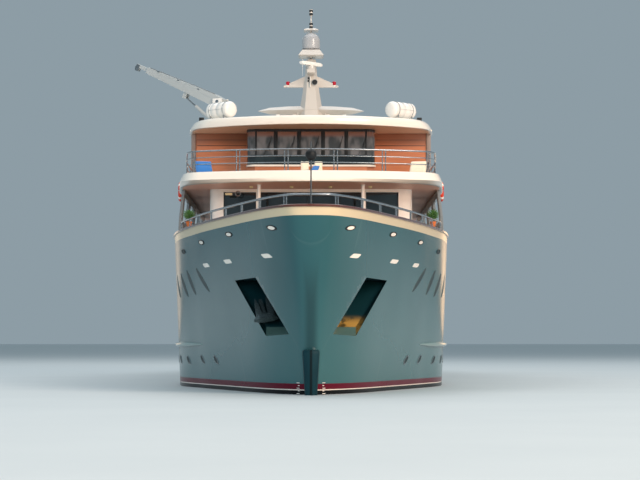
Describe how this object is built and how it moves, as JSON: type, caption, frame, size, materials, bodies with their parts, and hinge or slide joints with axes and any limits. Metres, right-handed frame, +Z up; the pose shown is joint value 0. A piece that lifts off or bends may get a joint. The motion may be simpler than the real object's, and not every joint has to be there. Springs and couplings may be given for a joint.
{
  "type": "motor yacht 1:2 scale model",
  "caption": "Motor yacht with a tall flared bow, anchor pockets, glazed saloon, bridge, mast, deck crane, twin propellers and rudders.",
  "frame": {"origin": "amidships on the centre line, at the height of the water", "axes": "+Z up, +Y aft along the keel, +X to port; the bow points to -Y"},
  "size_m": [5.641, 23.548, 7.9],
  "materials": {
    "hull_paint": "satin teal-grey paint",
    "white_paint": "gloss warm white paint",
    "copper_wall": "copper-brown metallic paint",
    "crane_paint": "satin white paint",
    "teak": "varnished hardwood",
    "dark_glass": "dark tinted glass",
    "steel": "polished stainless steel",
    "galvanised": "galvanised",
    "bronze": "propeller bronze",
    "canvas": "blue canvas"
  },
  "bodies": {
    "ship": {"hull": "hull_paint", "bulwark_port": "hull_paint", "bulwark_starboard": "hull_paint", "rub_rail_port": "hull_paint", "rub_rail_starboard": "hull_paint", "cap_rail_port": "teak", "cap_rail_starboard": "teak", "swim_platform": "teak", "saloon_walls": "white_paint", "hatch_coaming": "white_paint", "jackstaff": "white_paint", "upper_deck": "white_paint", "roof": "white_paint", "mast": "white_paint", "satellite_dome": "white_paint", "lounger_cream": "white_paint", "stairs_aft": "white_paint", "side_wing_port": "white_paint", "side_wing_starboard": "white_paint", "pillar_front_port": "white_paint", "pillar_front_starboard": "white_paint", "pillar_aft_port": "white_paint", "pillar_aft_starboard": "white_paint", "life_raft_port": "white_paint", "life_raft_starboard": "white_paint", "upper_house": "copper_wall", "bridge_glass": "dark_glass", "saloon_glass": "dark_glass", "cabin_glass_port": "dark_glass", "cabin_glass_starboard": "dark_glass", "bow_rail": "steel", "upper_rail": "steel", "aft_rail_port": "steel", "aft_rail_starboard": "steel", "anchor_starboard": "galvanised", "windlass": "galvanised", "bitt_bow_port": "galvanised", "bitt_bow_starboard": "galvanised", "bitt_aft_port": "galvanised", "bitt_aft_starboard": "galvanised", "crane_base": "crane_paint", "lounger_blue": "canvas"},
    "propeller_port": {"propeller_port": "bronze"},
    "propeller_starboard": {"propeller_starboard": "bronze"},
    "rudder_port": {"rudder_port": "hull_paint"},
    "rudder_starboard": {"rudder_starboard": "hull_paint"},
    "radar_scanner": {"radar_scanner": "white_paint"},
    "crane_column": {"crane_column": "crane_paint"},
    "crane_boom": {"crane_boom": "crane_paint"},
    "crane_jib": {"crane_jib": "crane_paint"},
    "ram_cylinder": {"ram_cylinder": "crane_paint"},
    "ram_rod": {"ram_rod": "steel"},
    "saloon_door_port": {"saloon_door_port": "white_paint"},
    "saloon_door_starboard": {"saloon_door_starboard": "white_paint"},
    "bridge_door_port": {"bridge_door_port": "white_paint"},
    "bridge_door_starboard": {"bridge_door_starboard": "white_paint"},
    "sun_deck_door": {"sun_deck_door": "white_paint"},
    "gate_port": {"gate_port": "hull_paint"},
    "gate_starboard": {"gate_starboard": "hull_paint"},
    "hatch_lid": {"hatch_lid": "white_paint"}
  },
  "joints": [
    {"name": "propeller_port_spin", "type": "hinge", "parent": "ship", "child": "propeller_port", "pos_m": [0.95, 8.48, -0.77], "axis": [0, 1, 0], "continuous": true},
    {"name": "propeller_starboard_spin", "type": "hinge", "parent": "ship", "child": "propeller_starboard", "pos_m": [-0.95, 8.48, -0.77], "axis": [0, 1, 0], "continuous": true},
    {"name": "rudder_port_turn", "type": "hinge", "parent": "ship", "child": "rudder_port", "pos_m": [0.95, 9.45, -0.45], "axis": [0, 0, 1], "range_deg": [-35, 35]},
    {"name": "rudder_starboard_turn", "type": "hinge", "parent": "ship", "child": "rudder_starboard", "pos_m": [-0.95, 9.45, -0.45], "axis": [0, 0, 1], "range_deg": [-35, 35]},
    {"name": "radar_scanner_spin", "type": "hinge", "parent": "ship", "child": "radar_scanner", "pos_m": [0, -1.15, 5.66], "axis": [0, 0, 1], "continuous": true},
    {"name": "crane_slew", "type": "hinge", "parent": "ship", "child": "crane_column", "pos_m": [-1.71, 0.75, 4.72], "axis": [0, 0, 1], "range_deg": [-60, 60]},
    {"name": "crane_luff", "type": "hinge", "parent": "crane_column", "child": "crane_boom", "pos_m": [-1.71, 0.75, 5.2], "axis": [0.5, 0.866, 0], "range_deg": [-15, 45]},
    {"name": "crane_jib_slide", "type": "slide", "parent": "crane_boom", "child": "crane_jib", "axis": [-0.7942, 0.4585, 0.3987], "range_m": [0, 0.9]},
    {"name": "ram_cylinder_tilt", "type": "hinge", "parent": "crane_column", "child": "ram_cylinder", "pos_m": [-1.8572, 0.835, 4.84], "axis": [0.5, 0.866, 0], "range_deg": [-13, 38]},
    {"name": "ram_rod_slide", "type": "slide", "parent": "ram_cylinder", "child": "ram_rod", "axis": [-0.6702, 0.387, 0.6332], "range_m": [-0.095, 0.28]},
    {"name": "saloon_door_port_hinge", "type": "hinge", "parent": "ship", "child": "saloon_door_port", "pos_m": [0.473, 5.62, 2.33], "axis": [0, 0, -1], "range_deg": [0, 95]},
    {"name": "saloon_door_starboard_hinge", "type": "hinge", "parent": "ship", "child": "saloon_door_starboard", "pos_m": [-0.473, 5.62, 2.33], "axis": [0, 0, 1], "range_deg": [0, 95]},
    {"name": "bridge_door_port_hinge", "type": "hinge", "parent": "ship", "child": "bridge_door_port", "pos_m": [1.036, -3.233, 3.68], "axis": [0, 0, -1], "range_deg": [0, 90]},
    {"name": "bridge_door_starboard_hinge", "type": "hinge", "parent": "ship", "child": "bridge_door_starboard", "pos_m": [-1.036, -3.233, 3.68], "axis": [0, 0, 1], "range_deg": [0, 90]},
    {"name": "sun_deck_door_hinge", "type": "hinge", "parent": "ship", "child": "sun_deck_door", "pos_m": [-0.213, 4.62, 3.68], "axis": [0, 0, 1], "range_deg": [0, 95]},
    {"name": "gate_port_hinge", "type": "hinge", "parent": "ship", "child": "gate_port", "pos_m": [2.1559, 2.45, 1.867], "axis": [0, 1, 0], "range_deg": [0, 90]},
    {"name": "gate_starboard_hinge", "type": "hinge", "parent": "ship", "child": "gate_starboard", "pos_m": [-2.1559, 2.45, 1.867], "axis": [0, -1, 0], "range_deg": [0, 90]},
    {"name": "hatch_lid_hinge", "type": "hinge", "parent": "ship", "child": "hatch_lid", "pos_m": [0, -7.65, 1.938], "axis": [-1, 0, 0], "range_deg": [0, 100]}
  ],
  "couplings": [
    {"joint": "rudder_starboard_turn", "follows": "rudder_port_turn", "ratio": 1},
    {"joint": "ram_cylinder_tilt", "follows": "crane_luff", "ratio": 0.82},
    {"joint": "ram_rod_slide", "follows": "crane_luff", "m_per_rad": 0.35}
  ]
}
